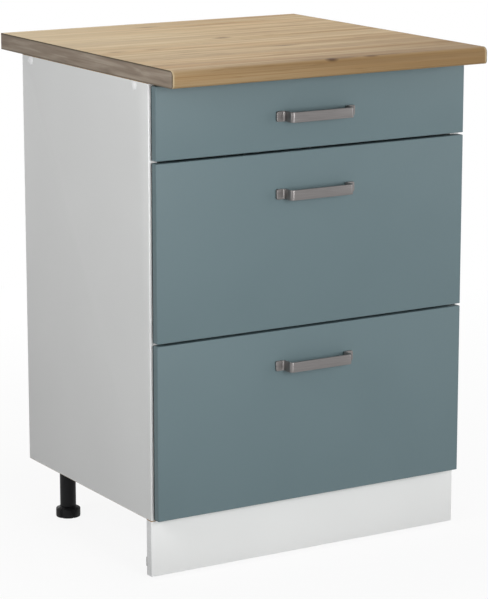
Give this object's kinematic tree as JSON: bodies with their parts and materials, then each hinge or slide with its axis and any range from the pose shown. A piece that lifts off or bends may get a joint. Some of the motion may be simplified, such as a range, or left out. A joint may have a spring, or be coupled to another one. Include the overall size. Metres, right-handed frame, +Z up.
{
  "type": "base cabinet with drawers",
  "caption": "Kitchen base cabinet with blue-grey drawer fronts, strip handles, a wood-look worktop, clip-on plinth and levelling legs.",
  "frame": {"origin": "on the floor, under the middle of the worktop", "axes": "+Z up, -Y towards the drawer fronts, +X to the right seen from the front"},
  "size_m": [0.606, 0.6, 0.844],
  "materials": {
    "white_melamine_board": "satin melamine on chipboard",
    "white_hardboard": "matt lacquer on hardboard",
    "white_plastic": "moulded, satin",
    "oak_laminate": "light oak print, postformed high-pressure laminate, matt",
    "worktop_end_strip": "grey-brown melamine edging",
    "blue_grey_foil": "matt blue-grey foil on board",
    "brushed_nickel": "brushed nickel plate",
    "zinc_plated_steel": "rolled sheet, bright zinc plate",
    "black_plastic": "injection moulded, matt"
  },
  "bodies": {
    "carcass": {"side_panel_left": "white_melamine_board", "side_panel_right": "white_melamine_board", "bottom_panel": "white_melamine_board", "top_rail_front": "white_melamine_board", "top_rail_rear": "white_melamine_board", "back_panel": "white_hardboard", "screw_cap_front_left": "white_plastic", "screw_cap_front_right": "white_plastic", "screw_cap_rear_left": "white_plastic", "screw_cap_rear_right": "white_plastic", "worktop": "oak_laminate", "worktop_end_left": "worktop_end_strip", "worktop_end_right": "worktop_end_strip", "plinth_board": "white_melamine_board", "plinth_clip_left": "black_plastic", "plinth_clip_right": "black_plastic", "leg_tube_front_left": "black_plastic", "leg_tube_front_right": "black_plastic", "leg_tube_rear_left": "black_plastic", "leg_tube_rear_right": "black_plastic", "bottom_slide_carcass_rail_left": "zinc_plated_steel", "bottom_slide_carcass_rail_right": "zinc_plated_steel", "middle_slide_carcass_rail_left": "zinc_plated_steel", "middle_slide_carcass_rail_right": "zinc_plated_steel", "top_slide_carcass_rail_left": "zinc_plated_steel", "top_slide_carcass_rail_right": "zinc_plated_steel"},
    "bottom_drawer": {"bottom_drawer_front": "blue_grey_foil", "bottom_drawer_handle": "brushed_nickel", "bottom_drawer_side_left": "white_melamine_board", "bottom_drawer_side_right": "white_melamine_board", "bottom_drawer_back": "white_melamine_board", "bottom_drawer_floor": "white_hardboard", "bottom_slide_drawer_rail_left": "zinc_plated_steel", "bottom_slide_drawer_rail_right": "zinc_plated_steel"},
    "bottom_ball_cage_left": {"bottom_slide_ball_cage_left": "zinc_plated_steel"},
    "bottom_ball_cage_right": {"bottom_slide_ball_cage_right": "zinc_plated_steel"},
    "middle_drawer": {"middle_drawer_front": "blue_grey_foil", "middle_drawer_handle": "brushed_nickel", "middle_drawer_side_left": "white_melamine_board", "middle_drawer_side_right": "white_melamine_board", "middle_drawer_back": "white_melamine_board", "middle_drawer_floor": "white_hardboard", "middle_slide_drawer_rail_left": "zinc_plated_steel", "middle_slide_drawer_rail_right": "zinc_plated_steel"},
    "middle_ball_cage_left": {"middle_slide_ball_cage_left": "zinc_plated_steel"},
    "middle_ball_cage_right": {"middle_slide_ball_cage_right": "zinc_plated_steel"},
    "top_drawer": {"top_drawer_front": "blue_grey_foil", "top_drawer_handle": "brushed_nickel", "top_drawer_side_left": "white_melamine_board", "top_drawer_side_right": "white_melamine_board", "top_drawer_back": "white_melamine_board", "top_drawer_floor": "white_hardboard", "top_slide_drawer_rail_left": "zinc_plated_steel", "top_slide_drawer_rail_right": "zinc_plated_steel"},
    "top_ball_cage_left": {"top_slide_ball_cage_left": "zinc_plated_steel"},
    "top_ball_cage_right": {"top_slide_ball_cage_right": "zinc_plated_steel"},
    "foot_front_left": {"leg_foot_front_left": "black_plastic"},
    "foot_front_right": {"leg_foot_front_right": "black_plastic"},
    "foot_rear_left": {"leg_foot_rear_left": "black_plastic"},
    "foot_rear_right": {"leg_foot_rear_right": "black_plastic"}
  },
  "joints": [
    {"name": "bottom_drawer_travel", "type": "slide", "parent": "carcass", "child": "bottom_drawer", "axis": [0, -1, 0], "range_m": [0, 0.3]},
    {"name": "bottom_ball_cage_left_travel", "type": "slide", "parent": "carcass", "child": "bottom_ball_cage_left", "axis": [0, -1, 0], "range_m": [0, 0.15]},
    {"name": "bottom_ball_cage_right_travel", "type": "slide", "parent": "carcass", "child": "bottom_ball_cage_right", "axis": [0, -1, 0], "range_m": [0, 0.15]},
    {"name": "middle_drawer_travel", "type": "slide", "parent": "carcass", "child": "middle_drawer", "axis": [0, -1, 0], "range_m": [0, 0.3]},
    {"name": "middle_ball_cage_left_travel", "type": "slide", "parent": "carcass", "child": "middle_ball_cage_left", "axis": [0, -1, 0], "range_m": [0, 0.15]},
    {"name": "middle_ball_cage_right_travel", "type": "slide", "parent": "carcass", "child": "middle_ball_cage_right", "axis": [0, -1, 0], "range_m": [0, 0.15]},
    {"name": "top_drawer_travel", "type": "slide", "parent": "carcass", "child": "top_drawer", "axis": [0, -1, 0], "range_m": [0, 0.3]},
    {"name": "top_ball_cage_left_travel", "type": "slide", "parent": "carcass", "child": "top_ball_cage_left", "axis": [0, -1, 0], "range_m": [0, 0.15]},
    {"name": "top_ball_cage_right_travel", "type": "slide", "parent": "carcass", "child": "top_ball_cage_right", "axis": [0, -1, 0], "range_m": [0, 0.15]},
    {"name": "foot_front_left_height", "type": "slide", "parent": "carcass", "child": "foot_front_left", "axis": [0, 0, -1], "range_m": [0, 0.012]},
    {"name": "foot_front_right_height", "type": "slide", "parent": "carcass", "child": "foot_front_right", "axis": [0, 0, -1], "range_m": [0, 0.012]},
    {"name": "foot_rear_left_height", "type": "slide", "parent": "carcass", "child": "foot_rear_left", "axis": [0, 0, -1], "range_m": [0, 0.012]},
    {"name": "foot_rear_right_height", "type": "slide", "parent": "carcass", "child": "foot_rear_right", "axis": [0, 0, -1], "range_m": [0, 0.012]}
  ],
  "couplings": [
    {"joint": "bottom_ball_cage_left_travel", "follows": "bottom_drawer_travel", "ratio": 0.5},
    {"joint": "bottom_ball_cage_right_travel", "follows": "bottom_drawer_travel", "ratio": 0.5},
    {"joint": "middle_ball_cage_left_travel", "follows": "middle_drawer_travel", "ratio": 0.5},
    {"joint": "middle_ball_cage_right_travel", "follows": "middle_drawer_travel", "ratio": 0.5},
    {"joint": "top_ball_cage_left_travel", "follows": "top_drawer_travel", "ratio": 0.5},
    {"joint": "top_ball_cage_right_travel", "follows": "top_drawer_travel", "ratio": 0.5}
  ]
}
